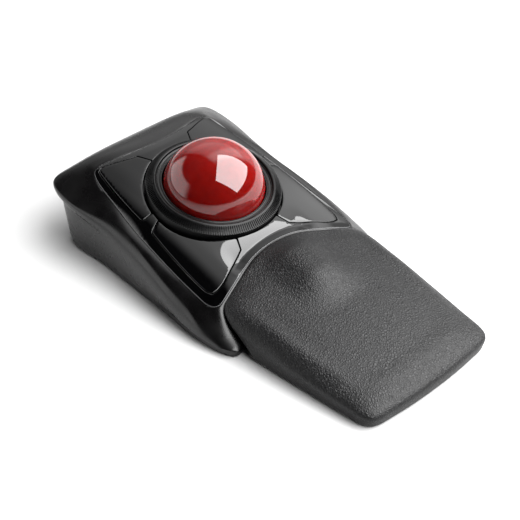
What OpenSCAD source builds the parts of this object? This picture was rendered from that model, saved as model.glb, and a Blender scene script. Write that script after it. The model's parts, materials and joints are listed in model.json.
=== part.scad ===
// Desktop trackball with a detachable padded wrist rest.
// +Z is up, +Y runs from the wrist rest to the rear of the case, and the left and right halves match.
// Case and rest outlines are given for the right half, from the rear centre round to the front centre.

/* [Ball] */
// Diameter of the ball
ball_d = 55; // [54.8:0.1:55.2]
// Height of the ball's centre above the desk
ball_z = 37.5; // [37.4:0.1:37.8]
// Clearance between the ball and its cup
cup_gap = 0.8; // [0.6:0.05:0.9]

/* [Placement] */
// Distance of the ball's centre behind the middle of the whole length
ball_y = 42.4; // [42.3:0.05:42.5]

/* [Deck] */
// Slope of the deck, rising to the rear, in degrees
deck_tilt = 12.5; // [12.3:0.1:12.7]
// Height of the deck's crown above the ball's centre, along the deck's normal
deck_top = 1.8; // [1.6:0.1:2]
// Radius of the crown across the deck
crown_r = 151; // [145:1:160]
// Thickness of the deck and of the buttons
skin = 1.8; // [1.6:0.1:2]
// Gap around each button
button_gap = 0.5; // [0.45:0.05:0.6]

/* [Scroll ring] */
// Outer radius of the scroll ring
ring_r = 36.3; // [36.1:0.1:36.4]
// Radius of the cup's neck, which the ring turns on
neck_r = 31; // [30.9:0.05:31.1]
// Running clearance between the ring and the neck
ring_fit = 0.05; // [0.02:0.01:0.1]
// Number of slots in the code skirt under the ring
code_slots = 36; // [24:4:60]

/* [Case] */
// Wall of the upper case
wall = 2; // [1.8:0.1:2.2]
// Height of the joint between base and upper case
split_z = 4.4; // [4.2:0.1:4.6]
// Thickness of the base floor
floor_t = 2.4; // [2.2:0.1:2.6]
// Height of the rubber feet
foot_h = 1.2; // [1:0.1:1.4]

/* [Buttons] */
// Radius of the hinge pins
pin_r = 1.2; // [1.1:0.05:1.25]
// Radial clearance of the hinge pins
pin_fit = 0.05; // [0.02:0.01:0.1]

/* [Batteries] */
// Diameter of a cell
cell_d = 14.3; // [14:0.1:14.4]
// Length of a cell over its cap
cell_l = 50.3; // [49.8:0.1:50.5]

/* [Wrist rest] */
// Thickness of the cover
cover_t = 1.2; // [1:0.1:1.4]
// Thickness of the hard base plate
plate_t = 2.4; // [2.2:0.1:2.6]

/* [Hidden] */
$fn = 48;
fine = 180;
ball_r = ball_d / 2;
steps = 3;

// Case outlines, right half. rim is the deck's edge, shoulder and brim lie outside it, hem is the lower edge.
rim = [[0, 44, 47.2], [13, 45, 46.9], [24, 47.4, 46], [34, 50.4, 44.4], [39.5, 50.6, 42.9],
    [42, 47.5, 41.2], [45, 30, 35.9], [47.8, 10, 30.6], [49.6, -10, 26.3], [50.6, -30, 21.8],
    [50.8, -45, 18.8], [49.8, -53, 17.4], [46.6, -56.2, 18.2], [41, -55.3, 20.2], [29, -51.4, 23.6],
    [15, -47.4, 26.8], [0, -46.2, 28]];
shoulder = [[0, 60, 45.3], [14, 60, 45.3], [27, 60.3, 44.8], [38, 61.5, 42.4], [46, 60.5, 39.6],
    [49.5, 54, 37.6], [50.6, 32, 33.9], [52.4, 10, 29.6], [54.2, -10, 24.9], [55.8, -30, 19.6],
    [56.2, -46, 15.2], [55, -57, 12.2], [50.8, -63, 12], [43, -62, 14.6], [30, -58, 17.2],
    [15, -54.2, 19], [0, -53, 19.8]];
brim = [[0, 70.8, 37.2], [15, 70.8, 37.2], [30, 70.8, 37], [44.5, 70.6, 36.3], [54, 68, 34.6],
    [57, 57.5, 32.8], [56.2, 32, 30.2], [55.8, 10, 27], [57.6, -10, 21.5], [59.7, -30, 15.6],
    [60.4, -46, 10.4], [58.8, -62, 7], [54, -70, 6.6], [46, -69.2, 9], [30, -65, 10.6],
    [15, -61.4, 11.4], [0, -60.2, 11.7]];
hem = [[0, 62.8], [14, 62.8], [28, 62.7], [42, 62.5], [51.4, 60.4], [55, 53], [55.6, 32], [56.4, 10],
    [57.3, -10], [58.2, -30], [59.3, -47], [58.2, -64], [54.2, -74.6], [47.4, -75], [30, -70.6],
    [15, -67.4], [0, -66.3]];

// Wrist rest outlines, right half: foot, belly, edge and crest, from the bottom up.
rest_foot = [[0, -69.4, 2.6], [15, -70.5, 2.6], [30, -73.8, 2.6], [43, -78.6, 2.6], [47.6, -81, 2.6],
    [48.6, -88, 2.6], [47.6, -102, 2.6], [46.4, -116, 2.6], [45.2, -130, 2.6], [43.6, -142, 2.6],
    [39.6, -150.6, 2.6], [31, -153.6, 2.6], [16, -154.7, 2.6], [0, -155.1, 2.6]];
rest_belly = [[0, -59.3, 14.6], [15, -60.6, 14], [30, -64.2, 12.4], [43, -68.8, 10.6], [48, -71.8, 9.6],
    [49.4, -82, 9.6], [48.6, -100, 9.2], [47.3, -116, 8.2], [46, -130, 7.2], [44.4, -142, 6.4],
    [40.4, -151.2, 6], [31.5, -154.3, 6], [16, -155.2, 6], [0, -155.6, 6]];
rest_edge = [[0, -49.6, 26.2], [15, -51, 25], [29, -55.2, 22.2], [41, -59.4, 19.4], [47, -62.6, 18.2],
    [48.6, -78, 17.6], [47.6, -98, 15.4], [46.2, -115, 13], [44.8, -129, 10.8], [43, -140, 9.4],
    [39, -148.8, 8.8], [30.5, -152, 8.9], [15.5, -153, 9.1], [0, -153.4, 9.2]];
rest_crest = [[0, -51.2, 28.2], [14, -52.8, 26.8], [27.5, -57, 24], [37, -61, 22.2], [42.4, -66, 21.4],
    [43.8, -80, 20.6], [43, -98, 18.6], [41.6, -114, 16.2], [40, -127, 13.9], [38, -136.5, 12.2],
    [34, -144, 11.3], [27, -147.4, 11.3], [14, -148.6, 11.7], [0, -149, 11.9]];
rest_mid_y = -100;

// Button outlines on the deck, right half. Their inner ends lie inside the ring's hole.
upper_outline = [[12, 31.5], [17.6, 42.3], [21.6, 43.6], [31.7, 47.6], [36.4, 49], [38.8, 48], [39.7, 45],
    [41.3, 34.7], [42.5, 24.3], [43.4, 13.9], [43.7, 6.8], [42.6, 5.7], [30, 6.2]];
lower_outline = [[30, 1.2], [36, 1.1], [43, -2.2], [44.3, -3.4], [45.2, -11.4], [46, -21.7], [46.5, -32],
    [46.6, -42.3], [46.2, -48.6], [44.6, -51.4], [41.6, -51.8], [36.9, -50.7], [28.5, -47], [16.9, -41],
    [12.2, -30]];
border_u = 44;
border_r = 80;
upper_axis = 39;
lower_axis = 42;
// Hinge lugs: place along the deck and the reach of each out to the deck's skirt
upper_lugs = [13, 36];
lower_lugs = [-13, -41];
upper_reach = [46.3, 42.8];
lower_reach = [48.7, 49.8];
upper_switch = [31, 34.5];
lower_switch = [33, -36];
axis_w = -10.5;
lug_end = 1.7;
lug_t = 2.4;
lug_h = 3.6;
arm_size = [3.2, 2.4];
window_gap = 0.1;

// Levels in the deck's own frame, measured along its normal from the ball's centre
hole_r = ring_r + 0.6;
board_top = -13.4;
board_t = 1.6;
switch_size = [5.8, 12.8, 6.5];
switch_top = board_top + switch_size.z;
plunger_h = 0.8;
flange_r = 37.8;
flange_w = [-7, -5.5];
skirt_bottom = -12.5;
sleeve_w = -4.5;
code_r = [34.2, 35.4];
code_bottom = -11.5;
slot_size = [80, 2.2, 3.4];
seat_r = 36.4;
deck_posts = [[0, 40.8], [40.6, 1.9], [-40.6, 1.9], [7, -43.6], [-7, -43.6]];

// Heights and places in the case
floor_top = foot_h + floor_t;
cup_r = ball_r + cup_gap;
cell_z = 11.5;
cell_y = [40.2, 54.8];
door_x = 27;
door_y = [31.8, 62.2];
case_bosses = [[47, 46, 34.4], [53, -35, 16.6]];
board_z = 6.6;
board_bosses = [[34, -22], [34, -52]];
cup_boss_r = 10.5;
cup_mouth_r = 27.95;
cup_rise = 10.4;
stem_r = 13.5;
screw_turns = [90, 210, 330];
bearing_r = 1.25;
bearing_turns = [30, 150, 270];
bearing_tilt = 130;
pilot_r = 1.1;
boss_r = 3.2;
rest_tabs = [22, -22];
tab_size = [14, 16, 1.4];
tab_z = 1.15;
sensor_pitch = 40;
// Distances out from the ball's centre through the sensor window
lens_w = 29.2;
sensor_w = 32.3;
sensor_board_w = 34.8;
// Places and sizes of the controls and of the rest's feet
knob_x = [-14, 8];
knob_y = -36;
pair_y = -46;
round_foot_r = 5;
rest_foot_h = 1;
rest_plate_z = 1;
rest_vents = [28, -100, -132];

// Outlines
function mirror_x(p) = [for (i = [0:len(p) - 1]) i == 0 ? -p[0] : p[i]];
function blend(a, b, c, d, t) =
    0.5 * (2 * b + (c - a) * t + (2 * a - 5 * b + 4 * c - d) * t * t + (3 * b - a - 3 * c + d) * t * t * t);
function half(p) =
    let (n = len(p), q = concat([mirror_x(p[1])], p, [mirror_x(p[n - 2])]))
    concat([for (i = [0:n - 2]) for (k = [0:steps - 1]) blend(q[i], q[i + 1], q[i + 2], q[i + 3], k / steps)],
        [p[n - 1]]);
function ring(p) =
    let (h = half(p), n = len(h))
    concat(h, [for (i = [n - 2:-1:1]) mirror_x(h[i])]);
function at_z(p, z) = [for (q = p) [q.x, q.y, z]];
function plan(p) = [for (q = p) [q.x, q.y]];
function out_dir(p, i) =
    let (n = len(p), t = p[(i + 1) % n] - p[(i + n - 1) % n], l = norm([t.x, t.y]))
    [-t.y, t.x] / l;
// Points of a closed outline moved inwards by d and down by drop
function inset(p, d, drop = 0) =
    [for (i = [0:len(p) - 1])
        let (o = out_dir(p, i))
        len(p[i]) == 2 ? p[i] - o * d : [p[i].x - o.x * d, p[i].y - o.y * d, p[i].z - drop]];
function coarse(p) = [for (i = [0:steps:len(p) - 1]) p[i]];
function to_deck(p) = [p.x, p.y * cos(deck_tilt) + (p.z - ball_z) * sin(deck_tilt)];
function crown(u) = deck_top - crown_r + sqrt(crown_r * crown_r - u * u);

// Height of the rest's top surface
function rest_top(x, y) =
    let (s = -79 - y, side = 20.6 - 0.105 * s - 0.0007 * s * s)
    side + 3.4 * (1 - pow(x / 44, 2)) + 2.6 * exp(-pow(x / 13, 2)) * exp(-pow((y + 58) / 20, 2));
function rest_ring(p, k) =
    [for (q = p)
        let (x = q.x * k, y = rest_mid_y + (q.y - rest_mid_y) * k)
        [x, y, rest_top(x, y)]];

// A tube-like solid through closed rings of points, each joined to the next and the last to the first
module ring_band(rings) {
    n = len(rings[0]);
    m = len(rings);
    polyhedron(points = [for (r = rings) for (p = r) p],
        faces = [for (i = [0:m - 1]) for (j = [0:n - 1]) for (second = [0, 1])
            let (k = (i + 1) % m, a = i * n + j, b = i * n + (j + 1) % n)
            let (c = k * n + j, d = k * n + (j + 1) % n)
            second == 0 ? [a, c, b] : [b, c, d]]);
}

// A closed solid through rings of points, ending in one point at each end
module ring_dome(first, rings, last) {
    n = len(rings[0]);
    m = len(rings);
    polyhedron(points = concat([for (r = rings) for (p = r) p], [first, last]),
        faces = concat(
            [for (i = [0:m - 2]) for (j = [0:n - 1]) for (second = [0, 1])
                let (a = i * n + j, b = i * n + (j + 1) % n, c = a + n, d = b + n)
                second == 0 ? [a, b, c] : [b, d, c]],
            [for (j = [0:n - 1]) [m * n, (j + 1) % n, j]],
            [for (j = [0:n - 1]) [m * n + 1, (m - 1) * n + j, (m - 1) * n + (j + 1) % n]]));
}

// Frames
module at_ball() {
    translate([0, ball_y, 0]) children();
}
module at_deck() {
    translate([0, ball_y, ball_z]) rotate([deck_tilt, 0, 0]) children();
}
module both_sides() {
    children();
    mirror([1, 0, 0]) children();
}
module on_side(side) {
    if (side == "right") children();
    else mirror([1, 0, 0]) children();
}
module along_v(u, v, w) {
    translate([u, v, w]) rotate([-90, 0, 0]) children();
}

// Solid under the crowned deck, lowered by drop
module under_crown(drop = 0) {
    along_v(0, -70, deck_top - crown_r) cylinder(r = crown_r - drop, h = 140, $fn = 360);
}
module bar(r, h, sides = $fn) {
    cylinder(r = r, h = h, $fn = sides);
}

module top_case() {
    slope = [0, -sin(deck_tilt), cos(deck_tilt)];
    r = ring(rim);
    s = ring(shoulder);
    b = ring(brim);
    h = ring(hem);
    color("#262628")
    difference() {
        at_ball() union() {
            ring_band([r, s, b, at_z(h, split_z), at_z(inset(h, wall), split_z), inset(b, wall, 1),
                inset(s, wall, 1.8), [for (p = r) p - slope * 2.6]]);
            both_sides() for (p = case_bosses)
                translate([p.x, p.y, split_z + 0.4]) bar(boss_r, p.z - split_z - 0.4);
        }
        at_ball() both_sides() for (p = case_bosses)
            translate([p.x, p.y, split_z]) bar(1.3, 11);
    }
}

module deck_plate() {
    edge = inset([for (p = ring(rim)) to_deck(p)], 0.2);
    color("#0d0d0f")
    at_deck() difference() {
        union() {
            difference() {
                deck_solid(edge, 0);
                translate([0, 0, -1]) deck_solid(inset(coarse(edge), 1.8), skin - 1);
                both_sides() button_windows();
            }
            deck_lugs();
            deck_bosses();
        }
        translate([0, 0, -40]) bar(hole_r, 80, fine);
        for (p = deck_posts)
            translate([p.x, p.y, board_top - 1]) bar(pilot_r, 9);
        both_sides() lug_bores();
    }
}

// Solid under the deck within an outline, turned down more steeply outside the buttons
module deck_solid(outline, drop) {
    intersection() {
        translate([0, 0, skirt_bottom]) linear_extrude(30) polygon(outline);
        under_crown(drop);
        along_v(0, -70, crown(border_u) - sqrt(border_r * border_r - border_u * border_u))
            cylinder(r = border_r - drop, h = 140, $fn = 360);
    }
}

module button_windows() {
    for (outline = [upper_outline, lower_outline])
        translate([0, 0, skirt_bottom - 1]) linear_extrude(30) offset(delta = window_gap) polygon(outline);
}

module deck_bosses() {
    for (p = deck_posts)
        translate([p.x, p.y, board_top]) bar(2.5, crown(abs(p.x) + 2.5) - board_top - 0.4);
}

module deck_lugs() {
    both_sides() for (k = [0, 1]) {
        lug(upper_axis, upper_lugs[k], upper_reach[k]);
        lug(lower_axis, lower_lugs[k], lower_reach[k]);
    }
}
module lug(axis_u, v, reach) {
    translate([axis_u - lug_end, v - lug_t / 2, skirt_bottom]) cube([reach - axis_u + lug_end, lug_t, lug_h]);
}

module lug_bores() {
    for (v = upper_lugs) along_v(upper_axis, v - 2, axis_w) bar(pin_r + pin_fit, 4);
    for (v = lower_lugs) along_v(lower_axis, v - 2, axis_w) bar(pin_r + pin_fit, 4);
}

// One button, built for the right side, with hinge arms, pins and a foot over its switch
module button(outline, axis_u, lugs, target) {
    color("#1b1b1d")
    at_deck() {
        difference() {
            intersection() {
                translate([0, 0, -15]) linear_extrude(30)
                    offset(delta = window_gap - button_gap) polygon(outline);
                under_crown();
            }
            under_crown(skin);
            translate([0, 0, -40]) bar(hole_r + 0.4, 80, fine);
        }
        for (k = [0, 1]) {
            side = k == 0 ? sign(lugs[1] - lugs[0]) : sign(lugs[0] - lugs[1]);
            v = lugs[k];
            arm = v + side * 2.7;
            translate([axis_u - arm_size.x / 2, arm - arm_size.y / 2, axis_w - 1.6])
                cube([arm_size.x, arm_size.y, crown(axis_u + 1.6) - axis_w + 1]);
            along_v(axis_u, min(v - side * 1.6, arm + side * 1), axis_w) bar(pin_r, 5.3);
        }
        translate([target.x - 1, target.y - 1.5, switch_top + plunger_h + 0.05])
            cube([2, 3, crown(target.x + 1) - switch_top - plunger_h - 0.6]);
    }
}
module upper_button(side) {
    on_side(side) button(upper_outline, upper_axis, upper_lugs, upper_switch);
}
module lower_button(side) {
    on_side(side) button(lower_outline, lower_axis, lower_lugs, lower_switch);
}

module micro_switch(side, p) {
    color("#303236")
    on_side(side) at_deck() difference() {
        translate([p.x - switch_size.x / 2, p.y - switch_size.y / 2, board_top]) cube(switch_size);
        translate([p.x - 0.7, p.y - 1.5, switch_top - 1.6]) cube([1.4, 3, 2]);
        for (s = [-1, 1])
            translate([p.x - 4, p.y + s * 3.3, board_top + 1.4]) rotate([0, 90, 0]) bar(0.9, 8);
    }
}
module plunger(side, p) {
    color("#d8d4c8")
    on_side(side) at_deck()
        translate([p.x - 0.6, p.y - 1.4, switch_top - 1.2]) cube([1.2, 2.8, 1.2 + plunger_h]);
}

module trackball() {
    color("#a01722") translate([0, ball_y, ball_z]) sphere(r = ball_r, $fn = 128);
}

// Cup under the ball, with the neck that the ring turns on and a foot on the base
module ball_cup() {
    color("#1c1c1e")
    difference() {
        union() {
            at_deck() intersection() {
                sphere(r = neck_r, $fn = 128);
                translate([0, 0, -40]) bar(50, 40);
            }
            at_deck() translate([0, 0, -6]) bar(neck_r, cup_rise, fine);
            at_ball() translate([0, 0, floor_top]) bar(stem_r, 6);
        }
        translate([0, ball_y, ball_z]) sphere(r = cup_r, $fn = 128);
        at_deck() bar(cup_mouth_r, 20, fine);
        at_ball() translate([0, 0, floor_top - 1]) bar(7, 20);
        at_ball() for (a = screw_turns)
            rotate([0, 0, a]) translate([cup_boss_r, 0, floor_top - 1]) bar(pilot_r, 4.6);
        at_bearings() translate([0, 0, ball_r - 0.6]) bar(1.3, 8);
        at_sensor() translate([-5, -4.5, ball_r - 1]) cube([10, 9, 10]);
    }
}

module at_bearings() {
    for (a = bearing_turns)
        at_deck() rotate([0, 0, a]) rotate([0, bearing_tilt, 0]) children();
}
module cup_bearings() {
    color("#e9e6df") at_bearings()
        translate([0, 0, ball_r + 0.04 + bearing_r]) sphere(r = bearing_r, $fn = 32);
}

// Frame whose +Z runs from the ball's centre out through the sensor window, to the lower rear
module at_sensor() {
    translate([0, ball_y, ball_z]) rotate([-90 - sensor_pitch, 0, 0]) children();
}
module sensor_lens() {
    color("#c9d6da") at_sensor() difference() {
        union() {
            translate([-4.8, -4.3, lens_w]) cube([9.6, 8.6, 1.6]);
            translate([-6.5, -5.6, lens_w + 2]) cube([13, 11.2, 1]);
            translate([0, 0, lens_w + 1.4]) bar(2.6, 1);
        }
        translate([0, 0, lens_w - 1.2]) bar(1.2, 1.6);
    }
}
module motion_sensor() {
    color("#101214") at_sensor() difference() {
        translate([-5.2, -5, sensor_w]) cube([10.4, 10, 2.4]);
        translate([0, 0, sensor_w - 0.3]) bar(1.6, 1.1);
    }
}
module sensor_board() {
    color("#1f5a36") at_sensor() difference() {
        translate([-12, -7.5, sensor_board_w]) cube([24, 15, 1.2]);
        for (s = [-1, 1]) translate([s * 9.5, 0, sensor_board_w - 0.8]) bar(pilot_r, 3);
    }
}

// Ring with a finger slope, a bearing sleeve, a retaining flange and a slotted code skirt
module scroll_ring() {
    bore = neck_r + ring_fit;
    color("#1a1a1b") at_deck() difference() {
        rotate_extrude($fn = fine)
            polygon([[bore, sleeve_w], [bore, 5.4], [bore + 0.5, 5.7], [bore + 1.6, 5.5], [ring_r - 0.2, 3.3],
                [ring_r, 3], [ring_r, flange_w[1]], [flange_r, flange_w[1]], [flange_r, flange_w[0]],
                [code_r[1], flange_w[0]], [code_r[1], code_bottom], [code_r[0], code_bottom],
                [code_r[0], sleeve_w]]);
        for (i = [0:code_slots / 2 - 1])
            rotate([0, 0, i * 360 / code_slots])
                translate([-slot_size.x / 2, -slot_size.y / 2, code_bottom + 0.5]) cube(slot_size);
    }
}

// Fixed race that carries the ring's flange
module ring_seat() {
    color("#3a3a3d") at_deck() difference() {
        translate([0, 0, board_top]) bar(flange_r + 0.1, flange_w[0] - 0.06 - board_top, fine);
        translate([0, 0, board_top - 1]) bar(seat_r, 12, fine);
        translate([-5, -45, board_top - 1]) cube([10, 14, 12]);
    }
}

// Light gate whose two posts stand on either side of the code skirt
module ring_sensor() {
    color("#17181a") at_deck() difference() {
        translate([-4.5, -38.2, board_top]) cube([9, 7.2, 5]);
        translate([-6, -36, board_top + 1.4]) cube([12, 2.4, 8]);
    }
}

module switch_board() {
    color("#1f5a36") at_deck() difference() {
        translate([0, 0, board_top - board_t]) linear_extrude(board_t) polygon([[-38, -41], [-14, -47],
            [14, -47], [38, -41], [42.5, -8], [43.5, -3], [43.5, 7], [42.5, 12], [36, 43], [-36, 43],
            [-42.5, 12], [-43.5, 7], [-43.5, -3], [-42.5, -8]]);
        translate([0, 0, -20]) bar(31.6, 10, fine);
        for (p = deck_posts)
            translate([p.x, p.y, -20]) bar(1.4, 10);
    }
}

module main_board() {
    chips = [[-24, -38, 9, 9, 1.2], [6, -31, 14, 9, 1.2], [24, -44, 6, 6, 1.2], [-6, -52, 8, 4, 3.4],
        [-32, -26, 5, 4, 2], [13, -37, 9, 4.5, 2]];
    color("#1f5a36") at_ball() difference() {
        union() {
            translate([0, 0, board_z]) linear_extrude(1.6) polygon([[-38, -56], [38, -56], [40, -46],
                [40, -18], [-40, -18], [-40, -46]]);
            for (c = chips) translate([c[0], c[1], board_z + 1.6]) cube([c[2], c[3], c[4]]);
            for (x = knob_x) translate([x - 5, knob_y + 1, board_z - 1.2]) cube([10, 5, 1.2]);
        }
        both_sides() for (p = board_bosses) translate([p.x, p.y, board_z - 2]) bar(1.4, 5);
    }
}

module board_ribbon() {
    path = [[-34.6, 10.25], [-34.2, 12.4], [-33.2, 13.6], [-30.2, 14.75], [-30.35, 15.2], [-33.5, 14.1],
        [-34.7, 12.6], [-35.1, 10.25]];
    color("#8d9094") at_ball() translate([13, 0, 0]) rotate([90, 0, 90]) linear_extrude(9) polygon(path);
}

module cell(i) {
    color("#6f7376") at_ball() translate([-cell_l / 2, cell_y[i], cell_z])
        rotate([0, 90, 0]) {
            bar(cell_d / 2, cell_l - 1.2, fine);
            bar(2.7, cell_l);
        }
}
module battery_front() {
    cell(0);
}
module battery_rear() {
    at_ball() mirror([1, 0, 0]) translate([0, -ball_y, 0]) cell(1);
}

// Coil springs at the flat ends of the cells
module battery_springs() {
    color("#b9bcc0") at_ball() for (i = [0, 1])
        mirror([i, 0, 0]) translate([-cell_l / 2 - 2.5, cell_y[i], cell_z]) rotate([0, 90, 0])
            for (k = [0, 1, 2])
                translate([0, 0, 0.45 + k * 0.8]) rotate_extrude()
                    translate([2 + (2 - k) * 0.9, 0]) circle(r = 0.4);
}
module battery_plates() {
    color("#c8ccd0") at_ball() for (i = [0, 1])
        mirror([i, 0, 0]) {
            translate([-cell_l / 2 - 2.95, cell_y[i] - 5.5, cell_z - 5.5]) cube([0.4, 11, 11]);
            translate([cell_l / 2 + 0.05, cell_y[i] - 5.5, cell_z - 5.5]) cube([0.4, 11, 11]);
        }
}

module battery_door() {
    color("#232325") at_ball() {
        translate([-door_x + 0.2, door_y[0] + 0.2, foot_h])
            cube([2 * door_x - 0.4, door_y[1] - door_y[0], 1.9]);
        both_sides() translate([door_x - 1, door_y[0] + 0.2, foot_h + 1])
            cube([2.2, door_y[1] - door_y[0] - 6, 0.9]);
        for (k = [0:4]) translate([-8, door_y[1] - 10 + k * 1.8, foot_h - 0.3]) cube([16, 0.8, 0.4]);
    }
}

module usb_receiver() {
    color("#2c2d30") at_ball() translate([-42.8, 36, floor_top + 0.1]) {
        cube([12, 6.5, 4.5]);
        translate([0.2, 6.4, 0.2]) cube([11.6, 12, 4.1]);
    }
}

module base_case() {
    h = inset(plan(ring(hem)), 0.35);
    color("#202022") at_ball() difference() {
        union() {
            difference() {
                translate([0, 0, foot_h]) linear_extrude(split_z - 0.1 - foot_h) polygon(h);
                translate([0, 0, floor_top]) linear_extrude(10) polygon(inset(h, 2));
            }
            both_sides() for (p = board_bosses)
                translate([p.x, p.y, floor_top - 0.5]) bar(3, board_z - floor_top + 0.45);
            both_sides() translate([cell_l / 2 + 3.1, 33, floor_top - 0.5]) cube([1.6, 27.3, 13]);
            translate([-28, 31.4, floor_top - 0.5]) cube([56, 1, 7]);
        }
        translate([-door_x, door_y[0], 0]) cube([2 * door_x, door_y[1] - door_y[0] + 5, floor_top + 0.1]);
        translate([-door_x - 1.4, door_y[0], foot_h + 0.9])
            cube([2 * door_x + 2.8, door_y[1] - door_y[0] + 5, 1.1]);
        both_sides() for (p = case_bosses) translate([p.x, p.y, 0]) {
            bar(1.6, 10);
            translate([0, 0, -1]) bar(3, foot_h + 2.2);
        }
        for (a = screw_turns) rotate([0, 0, a]) translate([cup_boss_r, 0, 0]) {
            bar(1.4, 10);
            translate([0, 0, -1]) bar(2.4, foot_h + 2.2);
        }
        both_sides() for (p = board_bosses) translate([p.x, p.y, foot_h + 1]) bar(1, 10);
        for (x = rest_tabs)
            translate([x - tab_size.x / 2 - 0.25, -80, tab_z - 0.2]) cube([tab_size.x + 0.5, 80 - 57.5, 10]);
        for (x = knob_x) translate([x - 4.2, knob_y + 1.3, 0]) cube([11.6, 4.4, 10]);
        translate([0, pair_y, 0]) bar(3.2, 10);
    }
}

// Sliding finger grips under the base
module slide_knob(x) {
    color("#3b3c40") at_ball() {
        translate([x - 4, knob_y + 1.5, 0.6]) cube([8, 4, floor_top - 0.4]);
        translate([x - 5, knob_y, floor_top + 0.1]) cube([10, 7, 1.4]);
    }
}
module power_switch() {
    slide_knob(knob_x[0]);
}
module mode_switch() {
    slide_knob(knob_x[1]);
}
module pairing_button() {
    color("#3b3c40") at_ball() translate([0, pair_y, 0]) {
        translate([0, 0, 0.7]) bar(3, floor_top - 0.6);
        translate([0, 0, floor_top + 0.05]) bar(4.4, 1);
    }
}

module rubber_feet() {
    color("#111111") at_ball() both_sides() {
        translate([40, 52.5, 0]) bar(round_foot_r, foot_h);
        hull() for (y = [-58, -66]) translate([44, y, 0]) cylinder(r = 4.5, h = foot_h, $fn = 32);
    }
    color("#111111") at_ball() for (x = [-36, 36]) translate([x, -5, 0]) bar(round_foot_r, foot_h);
}

// A pan-head screw with its head at the bottom
module screw(head_r, head_h, shank_r, length) {
    difference() {
        union() {
            bar(head_r, head_h);
            bar(shank_r, length);
        }
        for (a = [0, 90]) rotate([0, 0, a])
            translate([-head_r * 0.6, -0.3, -0.1]) cube([head_r * 1.2, 0.6, 0.8]);
    }
}
module case_screws() {
    color("#8a8d91") at_ball() both_sides() for (p = case_bosses)
        translate([p.x, p.y, foot_h + 0.5]) screw(2.8, 0.6, 1.25, 12);
}
module cup_screws() {
    color("#8a8d91") at_ball() for (a = screw_turns)
        rotate([0, 0, a]) translate([cup_boss_r, 0, foot_h + 0.5]) screw(2.2, 0.6, 1.05, 5);
}
module deck_screws() {
    color("#8a8d91") at_deck() for (p = deck_posts)
        translate([p.x, p.y, board_top - board_t - 1.1]) screw(2.2, 1.05, 1.05, 7);
}
module board_screws() {
    color("#8a8d91") at_ball() both_sides() for (p = board_bosses)
        translate([p.x, p.y, board_z + 1.65 + 1]) mirror([0, 0, 1]) screw(2, 0.95, 0.95, 5.2);
}

function rest_rings(d) =
    let (f = ring(rest_foot), b = ring(rest_belly), e = ring(rest_edge), c = ring(rest_crest))
    [inset(f, d), inset(b, d), inset(e, d, d * 0.5), inset(c, d * 0.4, d),
        [for (q = rest_ring(c, 0.66)) q - [0, 0, d]], [for (q = rest_ring(c, 0.33)) q - [0, 0, d]]];
rest_top_z = rest_top(0, rest_mid_y);

module rest_base() {
    edge = inset(plan(ring(rest_foot)), cover_t + 0.2);
    color("#202022") at_ball() difference() {
        union() {
            translate([0, 0, rest_plate_z]) linear_extrude(plate_t) polygon(edge);
            for (x = rest_tabs)
                translate([x - tab_size.x / 2, -59.2 - tab_size.y, tab_z]) cube(tab_size);
        }
        both_sides() for (y = [rest_vents[1], rest_vents[2]])
            translate([rest_vents[0], y, 0]) bar(1.5, 6);
    }
}
module rest_foam() {
    r = rest_rings(cover_t + 0.3);
    bottom = rest_plate_z + plate_t + 0.05;
    color("#55534f") at_ball()
        ring_dome([0, rest_mid_y, bottom],
            concat([at_z(inset(r[0], 0.1), bottom)], [for (i = [1:len(r) - 1]) r[i]]),
            [0, rest_mid_y, rest_top_z - cover_t - 0.3]);
}
module rest_cover() {
    outer = rest_rings(0);
    inner = rest_rings(cover_t);
    n = len(outer) - 1;
    color("#3a3a3c") at_ball()
        ring_dome([0, rest_mid_y, rest_top_z - cover_t],
            concat([for (i = [n:-1:0]) inner[i]], outer), [0, rest_mid_y, rest_top_z]);
}
module rest_feet() {
    color("#111111") at_ball() {
        both_sides() translate([34, -142, 0]) bar(round_foot_r, rest_foot_h);
        both_sides() translate([36, -90, 0]) bar(round_foot_r, rest_foot_h);
    }
}

base_case();
top_case();
deck_plate();
ball_cup();
cup_bearings();
trackball();
scroll_ring();
ring_seat();
ring_sensor();
upper_button("left");  // button_upper_left
upper_button("right");  // button_upper_right
lower_button("left");  // button_lower_left
lower_button("right");  // button_lower_right
micro_switch("left", upper_switch);  // switch_upper_left
micro_switch("right", upper_switch);  // switch_upper_right
micro_switch("left", lower_switch);  // switch_lower_left
micro_switch("right", lower_switch);  // switch_lower_right
plunger("left", upper_switch);  // plunger_upper_left
plunger("right", upper_switch);  // plunger_upper_right
plunger("left", lower_switch);  // plunger_lower_left
plunger("right", lower_switch);  // plunger_lower_right
switch_board();
main_board();
board_ribbon();
sensor_board();
motion_sensor();
sensor_lens();
battery_front();
battery_rear();
battery_springs();
battery_plates();
battery_door();
usb_receiver();
power_switch();
mode_switch();
pairing_button();
rubber_feet();
case_screws();
deck_screws();
cup_screws();
board_screws();
rest_base();
rest_foam();
rest_cover();
rest_feet();
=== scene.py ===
"""Looks of a desktop trackball with a padded wrist rest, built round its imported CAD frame."""

import json
import math

import bmesh
import bpy
import numpy as np
from mathutils import Matrix, Vector, geometry, kdtree


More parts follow.
